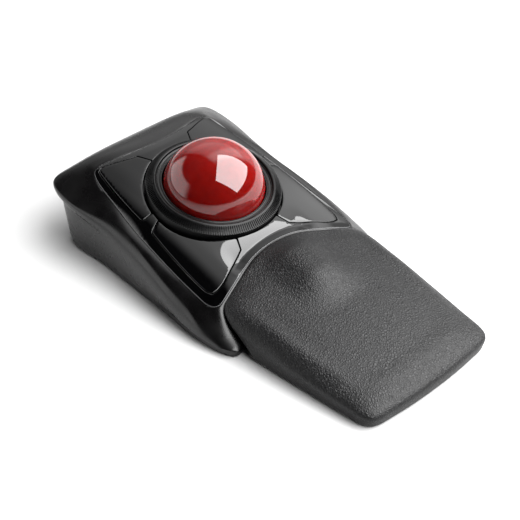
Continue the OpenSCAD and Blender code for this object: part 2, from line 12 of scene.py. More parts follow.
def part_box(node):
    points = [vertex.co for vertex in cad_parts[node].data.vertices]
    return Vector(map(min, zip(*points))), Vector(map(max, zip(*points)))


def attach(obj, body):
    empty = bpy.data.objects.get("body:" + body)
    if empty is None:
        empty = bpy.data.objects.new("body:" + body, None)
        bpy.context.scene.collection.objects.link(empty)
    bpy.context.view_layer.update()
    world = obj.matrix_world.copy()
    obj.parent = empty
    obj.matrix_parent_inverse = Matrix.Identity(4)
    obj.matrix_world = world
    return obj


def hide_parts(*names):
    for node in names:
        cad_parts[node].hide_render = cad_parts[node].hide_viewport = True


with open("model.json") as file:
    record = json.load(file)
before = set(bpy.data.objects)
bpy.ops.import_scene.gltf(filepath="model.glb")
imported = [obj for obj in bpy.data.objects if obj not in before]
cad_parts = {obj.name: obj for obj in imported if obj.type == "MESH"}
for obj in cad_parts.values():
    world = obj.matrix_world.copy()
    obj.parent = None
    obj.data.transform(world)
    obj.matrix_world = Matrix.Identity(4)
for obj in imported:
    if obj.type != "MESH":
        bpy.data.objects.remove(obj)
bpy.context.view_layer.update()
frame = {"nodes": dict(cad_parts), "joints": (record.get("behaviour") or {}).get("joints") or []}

# ---------------------------------------------------------------- frames
# Shapes are worked out in millimetres. Case and rest outlines count y from the ball's centre, and the
# deck has its own frame (u across, v back, w up) whose origin is the ball's centre.
MM = 0.001
ball_low, ball_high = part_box("trackball")
BALL = np.array((ball_low + ball_high) / 2) / MM
BALL_R = (ball_high.x - ball_low.x) / 2 / MM
RING_AXIS = next(j["axis"] for j in frame["joints"] if j["name"] == "ring_spin")
UP = np.array(RING_AXIS) / np.linalg.norm(RING_AXIS)
ACROSS = np.array([1.0, 0.0, 0.0])
BACK = np.cross(UP, ACROSS)
BALL_Y = np.array([0.0, BALL[1], 0.0])
FLOOR_Z = 0.0
BASE_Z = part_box("base_case")[0].z / MM
SPLIT_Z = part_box("top_case")[0].z / MM
RING_R = 36.3


def from_deck(points):
    """Row-frame points from deck-frame ones."""
    p = np.asarray(points, float)
    return BALL + p[:, :1] * ACROSS + p[:, 1:2] * BACK + p[:, 2:3] * UP


def to_deck(points):
    """Deck-frame points from row-frame ones."""
    p = np.asarray(points, float) - BALL
    return np.stack([p @ ACROSS, p @ BACK, p @ UP], axis=1)


# ---------------------------------------------------------------- outlines, right half
# From the rear centre round to the front centre. RIM is the deck's edge, SHOULDER lies on the slope
# outside it, BRIM is the crease above the side walls, and HEM is their lower edge.
RIM = [(0, 44, 47.2), (13, 45, 46.9), (24, 47.4, 46), (34, 50.4, 44.4), (39.5, 50.6, 42.9),
       (42, 47.5, 41.2), (45, 30, 35.9), (47.8, 10, 30.6), (49.6, -10, 26.3), (50.6, -30, 21.8),
       (50.8, -45, 18.8), (49.8, -53, 17.4), (46.6, -56.2, 18.2), (41, -55.3, 20.2), (29, -51.4, 23.6),
       (15, -47.4, 26.8), (0, -46.2, 28)]
SHOULDER = [(0, 60, 45.3), (14, 60, 45.3), (27, 60.3, 44.8), (38, 61.5, 42.4), (46, 60.5, 39.6),
            (49.5, 54, 37.6), (50.6, 32, 33.9), (52.4, 10, 29.6), (54.2, -10, 24.9), (55.8, -30, 19.6),
            (56.2, -46, 15.2), (55, -57, 12.2), (50.8, -63, 12), (43, -62, 14.6), (30, -58, 17.2),
            (15, -54.2, 19), (0, -53, 19.8)]
BRIM = [(0, 70.8, 37.2), (15, 70.8, 37.2), (30, 70.8, 37), (44.5, 70.6, 36.3), (55, 68.8, 34.6),
        (58.2, 58.5, 32.6), (56.9, 32, 29.8), (55.8, 10, 27), (57.6, -10, 21.5), (59.7, -30, 15.6),
        (60.4, -46, 10.4), (58.8, -62, 7), (54, -70, 6.6), (46, -69.2, 9), (30, -65, 10.6),
        (15, -61.4, 11.4), (0, -60.2, 11.7)]
HEM = [(0, 62.8), (14, 62.8), (28, 62.7), (42.6, 63), (52.4, 61.4), (56.2, 54), (56.2, 32), (56.4, 10),
       (57.3, -10), (58.2, -30), (59.3, -47), (58.2, -64), (54.2, -74.6), (47.4, -75), (30, -70.6),
       (15, -67.4), (0, -66.3)]

# Wrist rest, from the bottom up
REST_FOOT = [(0, -69.4, 2.2), (15, -70.5, 2.2), (30, -73.8, 2.2), (43, -78.6, 2.2), (47.6, -81, 2.2),
             (48.6, -88, 2.2), (47.6, -102, 2.2), (46.4, -116, 2.2), (45.2, -130, 2.2),
             (43.8, -143, 2.2), (40.8, -153.2, 2.2), (31, -156, 2.2), (16, -157.2, 2.2),
             (0, -157.6, 2.2)]
REST_BELLY = [(0, -59.3, 14.6), (15, -60.6, 14), (30, -64.2, 12.4), (43, -68.8, 10.6), (48, -71.8, 9.6),
              (49.4, -82, 9.6), (48.6, -100, 9.2), (47.3, -116, 8.4), (46, -130, 7.4),
              (44.6, -143, 6.8), (41.4, -153.6, 6.6), (31.5, -156.5, 6.8), (16, -157.8, 7), (0, -158.2, 7)]
REST_EDGE = [(0, -47.7, 27.1), (15, -49.1, 25.9), (29, -53.1, 22.9), (41, -56.9, 19.9), (47, -60.4, 18.5),
             (48.4, -78, 17), (47.4, -98, 14.6), (45.9, -115, 12.6), (44.3, -129, 11),
             (42.4, -140, 10.2), (38.6, -149.6, 10), (30, -152.9, 10.2), (15.5, -154.2, 10.6),
             (0, -154.7, 10.8)]
REST_CREST = [(0, -50, 28.5), (14, -51.4, 27.2), (27.5, -55.3, 24.4), (37, -59.2, 22.6), (42.4, -64.6, 21.7),
              (43.2, -80, 21), (42.2, -98, 19.2), (40.4, -114, 16.8), (38.4, -127, 14.8),
              (36, -135.5, 13.6), (32, -142.2, 13), (26, -145, 13.2), (14, -146.4, 13.6),
              (0, -146.8, 13.8)]
REST_MID_Y = -100

# Buttons on the deck (u, v). Both ends of each outline lie inside the ring's hole.
UPPER_BUTTON = [(12, 31.5), (17.6, 42.3), (21.6, 43.6), (31.7, 47.6), (36.4, 49), (38.8, 48), (39.7, 45),
                (41.3, 34.7), (42.5, 24.3), (43.4, 13.9), (43.7, 6.8), (42.6, 5.7), (30, 6.2)]
LOWER_BUTTON = [(30, 1.2), (36, 1.1), (43, -2.2), (44.3, -3.4), (45.2, -11.4), (46, -21.7), (46.5, -32),
                (46.6, -42.3), (46.2, -48.6), (44.6, -51.4), (41.6, -51.8), (36.9, -50.7), (28.5, -47),
                (16.9, -41), (12.2, -30)]
WINDOW_GAP = 0.1
BUTTON_GAP = 0.4
DECK_HOLE_R = RING_R + 0.6
BUTTON_HOLE_R = RING_R + 1.0


# ---------------------------------------------------------------- curves
def ease(value, low, high):
    """A smooth step from 0 at low to 1 at high."""
    t = np.clip((value - low) / (high - low), 0, 1)
    return t * t * (3 - 2 * t)


def mirrored(half):
    """A closed ring from its right half, whose first and last points lie on the middle line."""
    half = np.asarray(half, float)
    other = half[-2:0:-1].copy()
    other[:, 0] *= -1
    return np.concatenate([half, other])


def closed_splines(rings, fine):
    """Smooth closed curves through rings of matching points, with fine steps from point to point."""
    rings = np.asarray(rings, float)
    n = rings.shape[1]
    h = np.linalg.norm(np.roll(rings, -1, 1) - rings, axis=2).mean(0)
    before = np.roll(h, 1)
    system = np.zeros((n, n))
    for i in range(n):
        system[i, i] = 2 * (before[i] + h[i])
        system[i, (i + 1) % n] += h[i]
        system[i, i - 1] += before[i]
    smooth = []
    for ring in rings:
        ahead = (np.roll(ring, -1, 0) - ring) / h[:, None]
        curl = np.linalg.solve(system, 6 * (ahead - np.roll(ahead, 1, 0)))
        after, curl_after = np.roll(ring, -1, 0), np.roll(curl, -1, 0)
        points = []
        for k in range(fine):
            b = k / fine
            a = 1 - b
            bend = (a ** 3 - a) * curl + (b ** 3 - b) * curl_after
            points.append(a * ring + b * after + bend * h[:, None] ** 2 / 6)
        smooth.append(np.stack(points, axis=1).reshape(-1, ring.shape[1]))
    return np.array(smooth)


def open_spline(stack, fine):
    """Smooth curves through stack[0], stack[1], ... taken point by point: rows of a loft."""
    stack = np.asarray(stack, float)
    m = len(stack)
    h = np.linalg.norm(np.diff(stack, axis=0), axis=2).mean(1)
    system = np.eye(m)
    right = np.zeros_like(stack)
    for i in range(1, m - 1):
        system[i, i - 1: i + 2] = [h[i - 1], 2 * (h[i - 1] + h[i]), h[i]]
        right[i] = 6 * ((stack[i + 1] - stack[i]) / h[i] - (stack[i] - stack[i - 1]) / h[i - 1])
    curl = np.linalg.solve(system, right.reshape(m, -1)).reshape(stack.shape)
    rows = []
    for i in range(m - 1):
        for k in range(fine):
            b = k / fine
            a = 1 - b
            bend = (a ** 3 - a) * curl[i] + (b ** 3 - b) * curl[i + 1]
            rows.append(a * stack[i] + b * stack[i + 1] + bend * h[i] ** 2 / 6)
    rows.append(stack[-1])
    return np.array(rows)


def side_of(loop):
    """Unit vectors to the left of a closed plane curve's way round."""
    along = np.roll(loop, -1, 0) - np.roll(loop, 1, 0)
    along /= np.linalg.norm(along[:, :2], axis=1)[:, None]
    return np.stack([-along[:, 1], along[:, 0]], axis=1)


def outwards(ring):
    """Level unit vectors pointing out of a ring that runs clockwise seen from above."""
    side = side_of(ring[:, :2])
    return np.concatenate([side, np.zeros((len(side), 1))], axis=1)


def offset_path(path, d):
    """An open path moved to its left by d, with mitred corners."""
    p = np.asarray(path, float)
    along = np.diff(p, axis=0)
    along /= np.linalg.norm(along, axis=1)[:, None]
    left = np.stack([-along[:, 1], along[:, 0]], axis=1)
    corner = np.concatenate([left[:1], left[:-1] + left[1:], left[-1:]])
    corner /= np.linalg.norm(corner, axis=1)[:, None]
    stretch = np.concatenate([[1.0], np.sum(corner[1:-1] * left[1:], axis=1), [1.0]])
    return p + corner * d / stretch[:, None]


def clip_to_ring(path, r):
    """The part of an open path outside the circle of radius r, with its two ends on the circle."""
    p = np.asarray(path, float)

    def crossing(inner, outer):
        way = outer - inner
        a, b, c = way @ way, 2 * inner @ way, inner @ inner - r * r
        return inner + way * (-b + math.sqrt(b * b - 4 * a * c)) / (2 * a)

    outside = [i for i in range(len(p)) if np.linalg.norm(p[i]) > r]
    first, last = outside[0], outside[-1]
    start = crossing(p[first - 1], p[first])
    end = crossing(p[last + 1], p[last])
    return np.concatenate([[start], p[first:last + 1], [end]])


def arc(r, start, end, step=2.0):
    """Points on a circle about the deck's origin between two points, without the points themselves."""
    a, b = math.atan2(start[1], start[0]), math.atan2(end[1], end[0])
    b += 2 * math.pi * round((a - b) / (2 * math.pi))
    count = max(2, int(abs(b - a) * r / step))
    angles = [a + (b - a) * i / count for i in range(1, count)]
    return [(r * math.cos(t), r * math.sin(t)) for t in angles]


def soften(loop, corner_r, spacing=0.5):
    """A closed polygon with its gentle bends smoothed and its sharp corners rounded to corner_r."""
    p = np.asarray(loop, float)
    before, after = np.roll(p, 1, 0), np.roll(p, -1, 0)
    made = []
    for q, a, b in zip(p, before, after):
        la, lb = np.linalg.norm(a - q), np.linalg.norm(b - q)
        ea, eb = (a - q) / la, (b - q) / lb
        turn = math.pi - math.acos(max(-1.0, min(1.0, float(ea @ eb))))
        reach = 0.5 * min(la, lb)
        if turn > math.radians(28):
            reach = min(reach, corner_r * math.tan(turn / 2))
        start, end = q + ea * reach, q + eb * reach
        count = max(3, int(2 * reach / spacing))
        for k in range(count + 1):
            t = k / count
            made.append((1 - t) ** 2 * start + 2 * t * (1 - t) * q + t * t * end)
    made = np.array(made)
    return even(made, spacing)


def even(loop, spacing):
    """A closed curve with its points set evenly."""
    closed = np.concatenate([loop, loop[:1]])
    run = np.concatenate([[0], np.cumsum(np.linalg.norm(np.diff(closed, axis=0), axis=1))])
    count = int(run[-1] / spacing)
    at = np.arange(count) * run[-1] / count
    return np.stack([np.interp(at, run, closed[:, k]) for k in range(closed.shape[1])], axis=1)


# ---------------------------------------------------------------- meshes
def make_mesh(name, points, faces, body, materials, replaces=(), sharp=40, face_material=None):
    """One piece from points in millimetres, riding on a body."""
    mesh = bpy.data.meshes.new(name)
    mesh.from_pydata([tuple(p) for p in np.asarray(points) * MM], [], faces)
    for m in materials:
        mesh.materials.append(m)
    if face_material is not None:
        mesh.polygons.foreach_set("material_index", face_material)
    edit = bmesh.new()
    edit.from_mesh(mesh)
    bmesh.ops.remove_doubles(edit, verts=edit.verts, dist=1e-7)
    bmesh.ops.recalc_face_normals(edit, faces=edit.faces)
    edit.to_mesh(mesh)
    edit.free()
    smooth(mesh, sharp)
    piece = bpy.data.objects.new(name, mesh)
    bpy.context.scene.collection.objects.link(piece)
    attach(piece, body)
    if replaces:
        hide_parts(*replaces)
    return piece


def smooth(mesh, sharp):
    """Smooth shading, with edges sharper than an angle in degrees kept crisp."""
    mesh.polygons.foreach_set("use_smooth", [True] * len(mesh.polygons))
    mesh.set_sharp_from_angle(angle=math.radians(sharp))


def loft_faces(rows, columns, wrap_rows=False):
    """Quads of a loft: each row is a closed ring of columns points."""
    faces = []
    for i in range(rows if wrap_rows else rows - 1):
        for j in range(columns):
            k, below = (j + 1) % columns, (i + 1) % rows
            faces.append((i * columns + j, i * columns + k, below * columns + k, below * columns + j))
    return faces


def inside(points, loop):
    """Which points lie inside a closed polygon."""
    x, y = points[:, 0][:, None], points[:, 1][:, None]
    x0, y0 = loop[:, 0][None], loop[:, 1][None]
    x1, y1 = np.roll(x0, -1, 1), np.roll(y0, -1, 1)
    rise = np.where(y1 == y0, 1e-12, y1 - y0)
    crosses = ((y0 > y) != (y1 > y)) & (x < x0 + (y - y0) / rise * (x1 - x0))
    return crosses.sum(1) % 2 == 1


def nearest(points, loop):
    """For each point, the distance to a closed curve in the plane and the nearest place on the curve."""
    gaps, places = [], []
    step = np.roll(loop, -1, 0) - loop
    length = (step[:, :2] ** 2).sum(1)
    for part in np.array_split(np.asarray(points)[:, :2], max(1, len(points) // 2000)):
        way = part[:, None] - loop[None, :, :2]
        share = np.clip((way * step[None, :, :2]).sum(2) / length, 0, 1)
        gap = np.linalg.norm(way - share[..., None] * step[None, :, :2], axis=2)
        at = gap.argmin(1)
        gaps.append(gap.min(1))
        places.append(loop[at] + step[at] * share[np.arange(len(at)), at][:, None])
    return np.concatenate(gaps), np.concatenate(places)


def fill(loops, spacing):
    """Triangles over the region inside loops[0] and outside the other loops: (points, triangles)."""
    edge = np.concatenate(loops)
    low, high = edge.min(0), edge.max(0)
    grid = []
    for j, y in enumerate(np.arange(low[1], high[1], spacing * 0.866)):
        shift = spacing / 2 if j % 2 else 0
        grid += [(x + shift, y) for x in np.arange(low[0], high[0], spacing)]
    grid = np.array(grid)
    keep = inside(grid, loops[0])
    for hole in loops[1:]:
        keep &= ~inside(grid, hole)
    grid = grid[keep]
    grid = grid[np.min([nearest(grid, loop)[0] for loop in loops], axis=0) > spacing * 0.55]
    borders, start = [], 0
    for loop in loops:
        n = len(loop)
        borders += [(start + i, start + (i + 1) % n) for i in range(n)]
        start += n
    flat = [Vector((float(x), float(y))) for x, y in np.concatenate([edge, grid])]
    points, _, faces, *_ = geometry.delaunay_2d_cdt(flat, borders, [], 0, 1e-6)
    points = np.array([tuple(p) for p in points])
    middles = points[np.array(faces)].mean(1)
    keep = inside(middles, loops[0])
    for hole in loops[1:]:
        keep &= ~inside(middles, hole)
    return points, [tuple(f) for f, k in zip(faces, keep) if k]


def plate(loops, height, thick, edge_r, spacing=1.2, round_steps=4):
    """A crowned plate with rounded upper edges: (points in the deck's frame, faces).

    Each loop runs with the plate on its left: the outline anticlockwise, holes clockwise."""
    inner = [loop + side_of(loop) * edge_r for loop in loops]
    top, top_faces = fill(inner, spacing)
    points = [np.column_stack([top, height(top)])]
    faces = list(top_faces)
    count = len(top)
    bottoms = []
    for loop in loops:
        rows = []
        for k in range(round_steps + 1):
            turn = math.pi / 2 * k / round_steps
            flat = loop + side_of(loop) * edge_r * (1 - math.sin(turn))
            drop = edge_r * (1 - math.cos(turn))
            rows.append(np.column_stack([flat, height(flat) - drop]))
        rows.append(np.column_stack([loop, height(loop) - thick]))
        n = len(loop)
        faces += [tuple(count + i for i in f) for f in loft_faces(len(rows), n)]
        points += rows
        count += n * len(rows)
        bottoms.append(loop)
    under, under_faces = fill(bottoms, spacing * 2.5)
    points.append(np.column_stack([under, height(under) - thick]))
    faces += [tuple(count + i for i in f) for f in under_faces]
    return np.concatenate(points), faces


def lathe(profile, sides):
    """A solid turned about the deck's normal from a closed (r, w) profile, in the deck's frame."""
    points = []
    for r, w in profile:
        for j in range(sides):
            t = 2 * math.pi * j / sides
            points.append((r * math.cos(t), r * math.sin(t), w))
    return np.array(points), loft_faces(len(profile), sides, wrap_rows=True)


# ---------------------------------------------------------------- materials
class Look:
    """A Principled material with a few procedural helpers. Coordinates are the object's, in metres."""

    def __init__(self, name, color, rough, **sockets):
        self.material = bpy.data.materials.new(name)
        self.material.use_nodes = True
        tree = self.material.node_tree
        self.nodes, self.links = tree.nodes, tree.links
        self.shader = self.nodes["Principled BSDF"]
        self.place = self.nodes.new("ShaderNodeTexCoord").outputs["Object"]
        self.shader.inputs["Base Color"].default_value = (*color, 1)
        self.shader.inputs["Roughness"].default_value = rough
        for socket, value in sockets.items():
            self.shader.inputs[socket.replace("_", " ")].default_value = value

    def noise(self, size_mm, detail=2.0, stretch=(1, 1, 1), rough=0.5):
        stretched = self.nodes.new("ShaderNodeMapping")
        stretched.inputs["Scale"].default_value = stretch
        self.links.new(self.place, stretched.inputs["Vector"])
        texture = self.nodes.new("ShaderNodeTexNoise")
        texture.inputs["Scale"].default_value = 1 / (size_mm * MM)
        texture.inputs["Detail"].default_value = detail
        texture.inputs["Roughness"].default_value = rough
        self.links.new(stretched.outputs["Vector"], texture.inputs["Vector"])
        return texture.outputs["Fac"]

    def cells(self, size_mm, feature="DISTANCE_TO_EDGE", warp=None, output="Distance"):
        texture = self.nodes.new("ShaderNodeTexVoronoi")
        texture.feature = feature
        texture.inputs["Scale"].default_value = 1 / (size_mm * MM)
        self.links.new(warp or self.place, texture.inputs["Vector"])
        return texture.outputs[output]

    def warped(self, size_mm, reach_mm):
        """The place, shaken by noise so that cells lose their straight edges."""
        texture = self.nodes.new("ShaderNodeTexNoise")
        texture.inputs["Scale"].default_value = 1 / (size_mm * MM)
        self.links.new(self.place, texture.inputs["Vector"])
        shake = self.nodes.new("ShaderNodeVectorMath")
        shake.operation = "MULTIPLY_ADD"
        shake.inputs[1].default_value = (reach_mm * MM,) * 3
        self.links.new(texture.outputs["Color"], shake.inputs[0])
        self.links.new(self.place, shake.inputs[2])
        return shake.outputs["Vector"]

    def spread(self, value, low, high, out_low, out_high):
        node = self.nodes.new("ShaderNodeMapRange")
        limits = {"From Min": low, "From Max": high, "To Min": out_low, "To Max": out_high}
        for socket, number in limits.items():
            node.inputs[socket].default_value = number
        self.links.new(value, node.inputs["Value"])
        return node.outputs["Result"]

    def mix(self, factor, a, b):
        node = self.nodes.new("ShaderNodeMix")
        node.data_type = "RGBA"
        node.inputs["A"].default_value = (*a, 1)
        node.inputs["B"].default_value = (*b, 1)
        self.links.new(factor, node.inputs["Factor"])
        return node.outputs["Result"]

    def add(self, a, b, share=1.0):
        node = self.nodes.new("ShaderNodeMath")
        node.operation = "MULTIPLY_ADD"
        node.inputs[1].default_value = share
        self.links.new(b, node.inputs[0])
        self.links.new(a, node.inputs[2])
        return node.outputs["Value"]

    def set(self, socket, value):
        self.links.new(value, self.shader.inputs[socket])
        return self

    def bump(self, height, depth_mm, strength=1.0):
        node = self.nodes.new("ShaderNodeBump")
        node.inputs["Strength"].default_value = strength
        node.inputs["Distance"].default_value = depth_mm * MM
        self.links.new(height, node.inputs["Height"])
        self.links.new(node.outputs["Normal"], self.shader.inputs["Normal"])
        return self


def moulded(name, color, rough, grain_mm=0.45, depth_mm=0.012, shine=0.5):
    """Satin moulded plastic with a fine spark-eroded grain."""
    look = Look(name, color, rough, Specular_IOR_Level=shine)
    cloud = look.noise(14, 3)
    look.set("Roughness", look.spread(cloud, 0.3, 0.7, rough - 0.05, rough + 0.06))
    tint = tuple(c * 1.35 for c in color)
    look.set("Base Color", look.mix(look.spread(cloud, 0.3, 0.7, 0, 1), color, tint))
    return look.bump(look.noise(grain_mm, 2), depth_mm)


def glossy(name, color, rough=0.035, **sockets):
    """Piano-black lacquered plastic, with the faintest unevenness and a trace of handling."""
    look = Look(name, color, rough, **sockets)
    smear = look.noise(9, 4, stretch=(1, 2.5, 1))
    look.set("Roughness", look.spread(smear, 0.45, 0.8, rough, rough + 0.05))
    return look.bump(look.noise(22, 1), 0.004)


def leather():
    """Fine-grain leatherette: pebbled cells split by creases, shinier on the crowns."""
    look = Look("leatherette", (0.008, 0.008, 0.0085), 0.36, Specular_IOR_Level=0.29)
    warp = look.warped(2.4, 1.3)
    pebbles = look.cells(1.25, "DISTANCE_TO_EDGE", warp)
    crowns = look.spread(pebbles, 0.02, 0.32, 0, 1)
    fine = look.noise(0.35, 2)
    height = look.add(crowns, fine, 0.35)
    look.set("Base Color", look.mix(crowns, (0.002, 0.002, 0.0022), (0.0045, 0.0045, 0.0049)))
    look.set("Roughness", look.spread(crowns, 0, 1, 0.5, 0.33))
    return look.bump(height, 0.15, 0.9)


def ruby():
    """Polished red resin with a fine pearl fleck."""
    look = Look("ruby_resin", (0.16, 0.004, 0.004), 0.3, Coat_Weight=1.0, Coat_Roughness=0.006,
                Coat_IOR=1.6, Specular_IOR_Level=0.0, Subsurface_Weight=1.0,
                Subsurface_Radius=(1.0, 0.06, 0.04), Subsurface_Scale=0.009)
    fleck = look.spread(look.cells(0.5, "F1", output="Color"), 0.5, 1.0, 0, 1)
    cloud = look.spread(look.noise(4, 3, rough=0.6), 0.3, 0.75, 0, 0.7)
    depth = look.add(cloud, fleck, 0.15)
    look.set("Base Color", look.mix(depth, (0.10, 0.0028, 0.0027), (0.14, 0.0046, 0.0036)))
    return look


def steel(name="zinc_plated_steel", color=(0.55, 0.56, 0.58)):
    look = Look(name, color, 0.32, Metallic=1.0)
    grain = look.noise(0.3, 3, stretch=(1, 9, 1))
    look.set("Roughness", look.spread(grain, 0.3, 0.7, 0.24, 0.42))
    return look.bump(grain, 0.004)


def board():
    """Circuit board: solder mask over a lattice of tracks."""
    look = Look("solder_mask", (0.01, 0.09, 0.03), 0.35)
    tracks = look.cells(2.2, "DISTANCE_TO_EDGE")
    copper = look.spread(tracks, 0.04, 0.07, 1, 0)
    look.set("Base Color", look.mix(copper, (0.008, 0.075, 0.028), (0.03, 0.17, 0.06)))
    return look.bump(copper, 0.03)


def ribbon():
    look = Look("ribbon_cable", (0.42, 0.43, 0.45), 0.45)
    stripe = look.nodes.new("ShaderNodeTexWave")
    stripe.inputs["Scale"].default_value = 320
    look.links.new(look.place, stripe.inputs["Vector"])
    look.set("Base Color", look.mix(stripe.outputs["Fac"], (0.3, 0.31, 0.33), (0.5, 0.51, 0.52)))
    return look


def sleeve():
    """Plain printed cell sleeve, with a copper band towards one end."""
    look = Look("cell_sleeve", (0.05, 0.05, 0.055), 0.3, Metallic=0.6)
    split = look.nodes.new("ShaderNodeSeparateXYZ")
    look.links.new(look.place, split.inputs["Vector"])
    band = look.spread(split.outputs["X"], 0.0115, 0.012, 0, 1)
    look.set("Base Color", look.mix(band, (0.04, 0.042, 0.047), (0.42, 0.2, 0.08)))
    return look


def clear():
    look = Look("clear_lens", (0.86, 0.9, 0.92), 0.04, Transmission_Weight=0.9, IOR=1.49)
    haze = look.noise(3, 2)
    return look.set("Roughness", look.spread(haze, 0.3, 0.7, 0.02, 0.08))


def rubber():
    look = Look("rubber", (0.012, 0.012, 0.012), 0.8)
    return look.bump(look.noise(0.6, 3), 0.05)


SOFT_TOUCH = moulded("soft_touch_case", (0.0010, 0.0009, 0.0010), 0.27, 0.4, 0.004, 0.42).material
BASE_PLASTIC = moulded("base_plastic", (0.003, 0.003, 0.0032), 0.4, 0.6, 0.02).material
DECK_GLOSS = glossy("deck_gloss", (0.0005, 0.0005, 0.0006)).material
BUTTON_GLOSS = glossy("button_gloss", (0.0007, 0.0007, 0.0008), 0.04).material
# The deck's light grey edge line is painted sheen: grey colour standing in for the highlight along the deck's
# rounded edge.
PAINTED_EDGE_SHEEN = moulded("deck_edge_painted_sheen", (0.05, 0.05, 0.052), 0.3, 0.5, 0.003).material
CUP_SATIN = moulded("cup_satin", (0.0010, 0.0010, 0.0011), 0.25, 0.4, 0.004, 0.25).material
RING_SATIN = moulded("ring_satin", (0.0010, 0.0010, 0.0011), 0.3, 0.35, 0.003, 0.2).material
INNER_GREY = moulded("inner_grey", (0.06, 0.06, 0.063), 0.45).material
CHIP = moulded("chip_epoxy", (0.012, 0.012, 0.013), 0.5, 0.25, 0.01).material
IVORY = moulded("ivory_plastic", (0.62, 0.58, 0.5), 0.35).material
KNOB = moulded("knob_grey", (0.05, 0.05, 0.054), 0.45, 0.5, 0.015).material
CERAMIC = glossy("ceramic", (0.8, 0.77, 0.72), 0.08).material
LEATHER = leather().material
RUBY = ruby().material
STEEL = steel().material
CONTACT = steel("nickel_contact", (0.66, 0.65, 0.62)).material
BOARD = board().material
RIBBON = ribbon().material
SLEEVE = sleeve().material
CLEAR = clear().material
RUBBER = rubber().material

CAD_LOOKS = {
    BASE_PLASTIC: ["base_case", "battery_door", "rest_base"],
    CUP_SATIN: ["ball_cup"],
    CERAMIC: ["cup_bearings"],
    INNER_GREY: ["ring_seat"],
    CHIP: ["ring_sensor", "motion_sensor", "usb_receiver", "switch_upper_left", "switch_upper_right",
           "switch_lower_left", "switch_lower_right"],
    IVORY: ["plunger_upper_left", "plunger_upper_right", "plunger_lower_left", "plunger_lower_right"],
    BOARD: ["switch_board", "main_board", "sensor_board"],
    RIBBON: ["board_ribbon"],
    CLEAR: ["sensor_lens"],
    SLEEVE: ["battery_front", "battery_rear"],
    CONTACT: ["battery_springs", "battery_plates"],
    KNOB: ["power_switch", "mode_switch", "pairing_button"],
    RUBBER: ["rubber_feet", "rest_feet"],
    STEEL: ["case_screws", "deck_screws", "cup_screws", "board_screws"],
}


def dress_cad_nodes():
    for look, nodes in CAD_LOOKS.items():
        for node in nodes:
            for slot in frame["nodes"][node].material_slots:
                slot.material = look


# ---------------------------------------------------------------- case
FINE = 9
rings = [mirrored(outline) for outline in (RIM, SHOULDER, BRIM)]
rings.append(mirrored([(x, y, SPLIT_Z) for x, y in HEM]))
rim, shoulder, brim, hem = closed_splines(rings, FINE) + BALL_Y


def build_top_case():
    """The matte upper shell: a slope out from the deck, a crease that is crisp at the rear and soft along
    the sides, and walls that lean in below an overhanging lip."""
    out = outwards(brim)
    lip = outwards(rim)
    y = (brim - BALL_Y)[:, 1]
    rear = ease(y, 12, 52)[:, None]
    front = ease(-y, 40, 60)[:, None]
    crease = 5.2 - 4.1 * rear - 2.2 * front
    bend = 2 * shoulder - (rim + brim) / 2
    leave = 1 - crease / (2 * np.linalg.norm(brim - bend, axis=1))[:, None]
    wall = hem - brim
    reach = np.linalg.norm(wall, axis=1)[:, None]

    def slope(t):
        return (1 - t) ** 2 * rim + 2 * t * (1 - t) * bend + t * t * brim

    def side(s):
        under = rear * 3.2 * ease(s * reach, 2.6, 8.5) * (1 - s)
        swell = (1 - rear) * 3.2 * s * (1 - s)
        return brim + wall * s + out * (swell - under)

    rows = [rim - UP * 2.6, rim - UP * 0.35, rim - UP * 0.1 + lip * 0.08]
    rows += [slope(leave * t) for t in np.linspace(0.012, 1, 15)]
    start, end = slope(leave), side(crease / reach)
    for t in np.linspace(0, 1, 10)[1:-1]:
        rows.append((1 - t) ** 2 * start + 2 * t * (1 - t) * brim + t * t * end)
    rows += [side(crease / reach + (1 - crease / reach) * t) for t in np.linspace(0, 1, 26)]
    rows.append(hem - out * 0.4)
    rows.append(hem - out * 1.9)
    rows.append(brim - out * 5.4 - np.array([0, 0, 1.4]))
    rows.append(shoulder - lip * 2.6 - np.array([0, 0, 2.2]))
    return make_mesh("case_shell", np.concatenate(rows), loft_faces(len(rows), len(rim), wrap_rows=True),
                     "housing", [SOFT_TOUCH], ["top_case"], sharp=50)


def build_base_band():
    """The base's own edge below the shell's hem, with a shadow line between the two."""
    out = outwards(hem)
    level = [(-0.9, SPLIT_Z - 0.2), (-0.45, SPLIT_Z - 0.22), (-0.35, SPLIT_Z - 0.4), (-0.35, BASE_Z + 0.9),
             (-0.5, BASE_Z + 0.35), (-0.9, BASE_Z + 0.05), (-1.5, BASE_Z - 0.02), (-1.5, BASE_Z + 0.3),
             (-0.9, BASE_Z + 0.6)]
    rows = []
    for d, z in level:
        row = hem + out * d
        row[:, 2] = z
        rows.append(row)
    return make_mesh("base_edge", np.concatenate(rows), loft_faces(len(rows), len(hem), wrap_rows=True),
                     "housing", [BASE_PLASTIC], sharp=60)


# ---------------------------------------------------------------- deck and buttons
DECK_BAND = 5.0
DECK_THICK = 2.3
DECK_LIFT = 0.02
BUTTON_THICK = 1.8
BUTTON_LIFT = 0.04
# Width of the grey band along the deck's edge that paints its sheen.
PAINTED_SHEEN_W = 0.34
CROWN_TOP = 2.25
CROWN_ACROSS = 302
CROWN_ALONG = 1300
TONGUE_FROM = -31
rim_deck = to_deck(rim)
deck_edge = rim_deck[:, :2] - side_of(rim_deck[:, :2]) * 0.22
deck_edge = even(deck_edge, 0.6)[::-1].copy()


def crown(points):
    """The deck's gentle dome, with the tongue at the front turned down between the lower buttons."""
    u, v = points[:, 0], points[:, 1]
    tongue = np.clip(TONGUE_FROM - v, 0, 20) ** 1.5 / 40 * ease(-np.abs(u), -30, -21)
    return CROWN_TOP - u * u / CROWN_ACROSS - v * v / CROWN_ALONG - tongue


def deck_height(points):
    """The crown, turned down towards the rim over a band outside the buttons."""
    gap, place = nearest(points, rim_deck)
    drop = place[:, 2] - crown(place)
    fade = np.clip(1 - gap / DECK_BAND, 0, 1) ** 1.2
    return crown(points) + drop * fade


